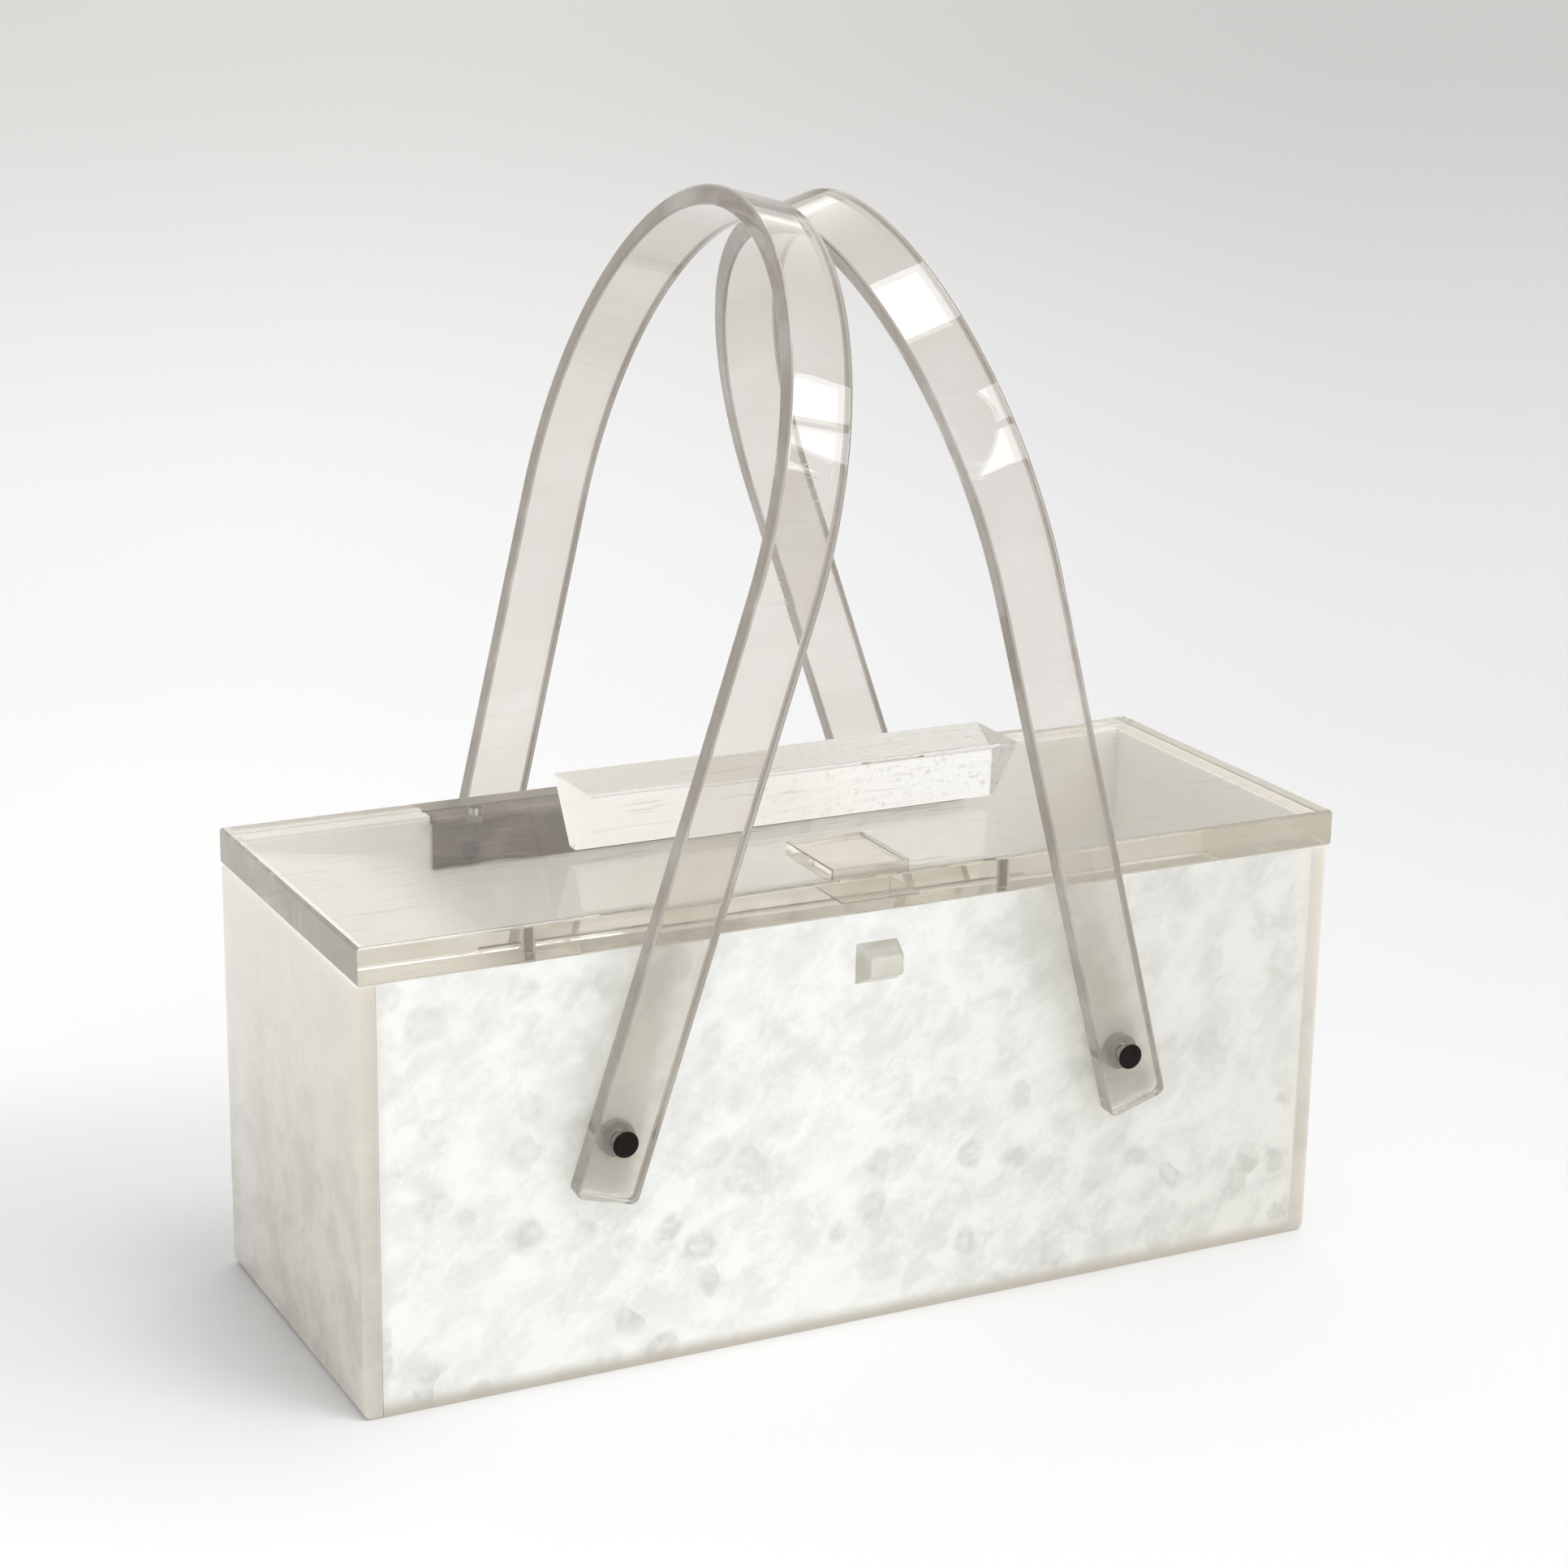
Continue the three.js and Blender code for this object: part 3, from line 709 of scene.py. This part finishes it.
# %% [markdown]
# A long bar to lift the lid by is cemented on it, wide at the top and undercut on all sides. Its
# back and ends were sawn and left matt, so its front gleams white. Cement joins clear pieces
# without a gap of air, so the bar reaches a hair's breadth into the slab. The scuffed lid doesn't
# mirror the bar, so the bar is hidden from mirrored rays.

# %% Lift bar
CEMENT = 0.25 * MM

bar_clear = clear_acrylic("bar", (0.96, 0.95, 0.92), 0.94, haze=0.04, scratches=0.7, speckle=0.6)
bar_frosted = clear_acrylic("bar_frosted", (0.98, 0.975, 0.96), 0.45, polish=0.4, haze=0.1)
bar_end = clear_acrylic("bar_end", (0.86, 0.835, 0.79), 0.85, polish=0.4, haze=0.1)


def sink_bar(point):
    return point - Vector((0, 0, CEMENT)) if point.z < lid_high.z + MM else point


def behind_bar(normal):
    return normal.y > 0.5


bar = dress("lid_bar", "clear_acrylic", bar_clear, 0.35 * MM, stretch=sink_bar,
            others=((bar_frosted, behind_bar), (bar_end, along_x)))
bar.visible_glossy = False

# %% [markdown]
# Under the lid sits a flat clear tongue, cemented too. It keeps the lid in line. Through the slab
# only its side edges show, as thin dark lines. The narrow rounds there have a dark, half clear
# finish: painted shade for those lines, though part of the light still passes.

# %% Tongue
# painted shade for the dark edge lines
tongue_edge = clear_acrylic("tongue_edge", (0.14, 0.12, 0.10), 0.3)


def raise_tongue(point):
    return point + Vector((0, 0, CEMENT)) if point.z > lid_low.z - MM else point


def on_side_edge(normal):
    return 0.2 < abs(normal.x) < 0.98


dress("lid_tongue", "clear_acrylic", slab_clear, 0.3 * MM, stretch=raise_tongue,
      others=((slab_end, along_y), (tongue_edge, on_side_edge)))

# %% [markdown]
# The catch on the front panel is a small clear nub with four slopes, cemented on. The slopes look
# darker than the flat nose, because they turn the light away from the eye. One finish for the
# whole nub would lose that, so the faces are told apart by their normals.

# %% Catch
PANEL_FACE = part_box("front_panel")[0].y

catch_slope = clear_acrylic("catch_slope", (0.34, 0.305, 0.25), 0.75, haze=0.02)


def press_catch(point):
    return point + Vector((0, CEMENT, 0)) if point.y > PANEL_FACE - MM else point


def sloped(normal):
    return normal.y > -0.9


dress("front_catch", "clear_acrylic", slab_end, 0.25 * MM, stretch=press_catch,
      others=((catch_slope, sloped),))

# %% [markdown]
# The hinge is thin sheet metal that has gone dull grey and brown. It is seen only through the
# lid, so its colour matters more than its shine: patches of tarnish, and pale smears where cement
# ran between the leaf and the plastic. A metallic shader would mirror the pale room and look
# too bright under the slab, so the tarnish is a dull coat with little gloss.

# %% Hinge
TARNISH = (0.105, 0.083, 0.060)
TARNISH_DEEP = (0.068, 0.051, 0.036)
SMEAR = (0.2, 0.172, 0.135)


def tarnished_metal():
    material, tree, shader, place = material_of("hinge_metal")
    patch = noise(tree, place, 140.0, 5.0, Roughness=0.6)
    smear = noise(tree, place, 45.0, 2.0, Distortion=1.2)
    colour = blend(tree, ramp(tree, patch, 0.3, 0.7), TARNISH, TARNISH_DEEP)
    colour = blend(tree, ramp(tree, smear, 0.56, 0.7, 0.0, 0.6), colour, SMEAR)
    tree.links.new(colour, shader.inputs["Base Color"])
    tree.links.new(ramp(tree, patch, 0.2, 0.8, 0.35, 0.6), shader.inputs["Roughness"])
    shader.inputs["Specular IOR Level"].default_value = 0.2
    return material


hinge_metal = tarnished_metal()
for name in ("hinge_lid_leaf", "hinge_wall_leaf"):
    dress(name, "hinge_metal", hinge_metal, 0.08 * MM, steps=2)

# %% [markdown]
# Screws, rivets and pins are nearly black metal. A grey ring keeps each handle leg off the wall.
# Both are a single noise between two close tones: small parts need little more to look real.

# %% Fasteners and spacers
def small_part(name, scale, tone, other_tone, tone_range, dull_range, specular):
    material, tree, shader, place = material_of(name)
    patch = noise(tree, place, scale, 3.0)
    colour = blend(tree, ramp(tree, patch, *tone_range), tone, other_tone)
    tree.links.new(colour, shader.inputs["Base Color"])
    tree.links.new(ramp(tree, patch, 0.3, 0.7, *dull_range), shader.inputs["Roughness"])
    shader.inputs["Specular IOR Level"].default_value = specular
    return material


dark_metal = small_part("dark_metal", 700.0, (0.006, 0.004, 0.004), (0.014, 0.010, 0.010),
                        (0.35, 0.75), (0.5, 0.7), 0.12)
spacer_grey = small_part("spacer_grey", 500.0, (0.27, 0.25, 0.225), (0.36, 0.335, 0.305),
                         (0.3, 0.7), (0.3, 0.45), 0.5)
dress("hinge_pin", "dark_metal", dark_metal, 0.1 * MM, steps=2)
for side in ("left", "right"):
    for name in ("lid_screw_", "wall_rivet_", "pin_front_", "pin_back_"):
        dress(name + side, "dark_metal", dark_metal, 0.12 * MM, steps=2)
for end in ("front_left", "front_right", "back_left", "back_right"):
    dress("spacer_" + end, "spacer", spacer_grey, 0.2 * MM, steps=2)

# %% [markdown]
# Each handle is a strip of thick clear sheet, bent hot over a form: two straight legs that splay a
# little, joined by half an ellipse. First we work out its middle line. Each step of the line holds a
# place across the bag, a height over the pin, the way that the outer face looks, and half the
# width, which narrows at the foot to round its corners.

# %% Middle line of a band
SPAN_AT_PIN = 47.4 * MM
CROWN_HALF_WIDTH = 57.6 * MM
CROWN_HEIGHT = 67 * MM
CROWN_CENTRE = 122.2 * MM
CROWN_STEPS = 150
LEG_STEPS = 12
BAND_END = -12.9 * MM
BAND_HALF_WIDTH = 7.2 * MM
FOOT_ROUND = 1.5 * MM
FOOT_STEPS = 6


def crown_line():
    far = math.hypot(SPAN_AT_PIN * CROWN_HEIGHT, CROWN_HALF_WIDTH * CROWN_CENTRE)
    turn = math.atan2(CROWN_HALF_WIDTH * CROWN_CENTRE, SPAN_AT_PIN * CROWN_HEIGHT)
    start = -(turn - math.acos(CROWN_HALF_WIDTH * CROWN_HEIGHT / far))
    crown = []
    for step in range(CROWN_STEPS + 1):
        angle = start + (math.pi - 2 * start) * step / CROWN_STEPS
        across, rise = math.cos(angle), math.sin(angle)
        normal = Vector((0, across / CROWN_HALF_WIDTH, rise / CROWN_HEIGHT)).normalized()
        y, s = CROWN_HALF_WIDTH * across, CROWN_CENTRE + CROWN_HEIGHT * rise
        crown.append((y, s, normal, BAND_HALF_WIDTH))
    return crown


def band_line():
    crown = crown_line()
    y_top, s_top, normal, _ = crown[0]
    slope = (y_top - SPAN_AT_PIN) / s_top
    heights = []
    for step in range(FOOT_STEPS + 1):
        angle = math.pi / 2 * step / FOOT_STEPS
        height = BAND_END + FOOT_ROUND * (1 - math.cos(angle))
        heights.append((height, FOOT_ROUND * (1 - math.sin(angle))))
    low = BAND_END + FOOT_ROUND
    heights += [(low + (s_top - low) * k / LEG_STEPS, 0.0) for k in range(1, LEG_STEPS)]
    leg = [(SPAN_AT_PIN + slope * s, s, normal, BAND_HALF_WIDTH - cut) for s, cut in heights]
    far_leg = [(-y, s, Vector((0, -n.y, n.z)), w) for y, s, n, w in reversed(leg)]
    return leg + crown + far_leg


print("middle line of", len(band_line()), "steps")

# %% [markdown]
# Along that line we lay the section of the strip, a rectangle with worn corners. A bevel on a bent
# box would give the corners too, but here they stay even round the bend. A narrow strip of
# faces beside each corner keeps the shading of the flat faces flat. We also note which strips of
# faces belong to the narrow sides.

# %% Section of a band
BAND_HALF_THICK = 2.2 * MM
EDGE_ROUND = 0.55 * MM
EDGE_STEPS = 4
SUPPORT = 0.25 * MM
CORNERS = ((1, 1), (-1, 1), (-1, -1), (1, -1))
CORNER_POINTS = EDGE_STEPS + 3
SIDE_STRIPS = (
    *range(0, EDGE_STEPS + 1),
    *range(CORNER_POINTS + 1, 2 * CORNER_POINTS + EDGE_STEPS + 1),
    *range(3 * CORNER_POINTS + 1, 4 * CORNER_POINTS),
)


def band_section(half_width):
    corner_x, corner_t = half_width - EDGE_ROUND, BAND_HALF_THICK - EDGE_ROUND
    ring = []
    for quarter, (sx, st) in enumerate(CORNERS):
        arc = []
        for step in range(EDGE_STEPS + 1):
            angle = math.pi / 2 * (quarter + step / EDGE_STEPS)
            x = sx * corner_x + EDGE_ROUND * math.cos(angle)
            arc.append((x, st * corner_t + EDGE_ROUND * math.sin(angle)))
        before, after = arc[0], arc[-1]
        if quarter % 2 == 0:
            ring += [(before[0], before[1] - st * SUPPORT), *arc, (after[0] - sx * SUPPORT, after[1])]
        else:
            ring += [(before[0] - sx * SUPPORT, before[1]), *arc, (after[0], after[1] - st * SUPPORT)]
    return ring


ring_size = len(band_section(BAND_HALF_WIDTH))
print("section of", ring_size, "points,", len(SIDE_STRIPS), "strips on its sides")

# %% [markdown]
# Now the two are put together. A curve with a bevel shape could sweep the section along the line,
# but it would not narrow at the feet. So the section is laid at each step, and the faces
# between two steps are made one by one. The two ends are closed with one face each.

# %% Mesh of a band
def band_mesh(name):
    form = bmesh.new()
    rows = []
    for y, s, normal, half_width in band_line():
        middle = Vector((0, y, s))
        section = band_section(half_width)
        rows.append([form.verts.new(middle + Vector((x, 0, 0)) + normal * t) for x, t in section])
    for one, two in zip(rows, rows[1:]):
        for i in range(len(one)):
            j = (i + 1) % len(one)
            face = form.faces.new((one[i], one[j], two[j], two[i]))
            face.smooth = True
            face.material_index = 1 if i in SIDE_STRIPS else 0
    form.faces.new(list(reversed(rows[0])))
    form.faces.new(rows[-1])
    bmesh.ops.recalc_face_normals(form, faces=form.faces)
    mesh = bpy.data.meshes.new(name)
    form.to_mesh(mesh)
    form.free()
    return mesh


print("a band is laid through", len(band_line()) * ring_size, "points")

# %% [markdown]
# Each band is drilled for its pins with a Boolean, once and for good, so that no modifier is left
# on the piece. Then it turns about its pins until the two handles lean on each other. The narrow
# sides of a band look deeper in colour than its broad faces, so they take a darker, less clear
# finish: painted shade for the dark lines along the edges.

# %% Handles
PIN_X = 60.4 * MM
PIN_Z = 54 * MM
BORE = 1.8 * MM
BORE_SIDES = 40
CREASE = math.radians(40)
LEANS = (("handle_left", -1, 15.1), ("handle_right", 1, 17.45))
BAND_PASSING = (0.75, 0.735, 0.70)

band_clear = clear_acrylic("band", (0.84, 0.81, 0.765), 0.95, passing=BAND_PASSING, mirrored=False)
# painted shade for the dark lines along the band's edges
band_side = clear_acrylic("band_side", (0.43, 0.39, 0.345), 0.5, polish=0.05, haze=0.05,
                          passing=BAND_PASSING, mirrored=False)


def drilled(mesh):
    drill = bmesh.new()
    bmesh.ops.create_cone(drill, cap_ends=True, segments=BORE_SIDES, radius1=BORE, radius2=BORE,
                          depth=4 * CROWN_HALF_WIDTH, matrix=Matrix.Rotation(math.pi / 2, 4, "X"))
    drill_mesh = bpy.data.meshes.new("drill")
    drill.to_mesh(drill_mesh)
    drill.free()
    drill_mesh.shade_smooth()
    body, cutter = bpy.data.objects.new("band", mesh), bpy.data.objects.new("drill", drill_mesh)
    for thing in (body, cutter):
        scene.collection.objects.link(thing)
    cut = body.modifiers.new("cut", "BOOLEAN")
    cut.operation, cut.solver, cut.object = "DIFFERENCE", "EXACT", cutter
    made = bpy.data.meshes.new_from_object(body.evaluated_get(bpy.context.evaluated_depsgraph_get()))
    for thing in (body, cutter):
        bpy.data.objects.remove(thing)
    return made


for name, side, lean in LEANS:
    mesh = drilled(band_mesh(name))
    leaning = Matrix.Rotation(-side * math.radians(lean), 4, "Y")
    mesh.transform(Matrix.Translation((side * PIN_X, 0, PIN_Z)) @ leaning)
    mesh.set_sharp_from_angle(angle=CREASE)
    piece = add_piece(name + "_piece", mesh, name, "clear_acrylic", band_clear, band_side)
    sides = sum(face.material_index for face in mesh.polygons)
    print(piece.name, len(mesh.polygons), "faces,", sides, "of them on its sides")
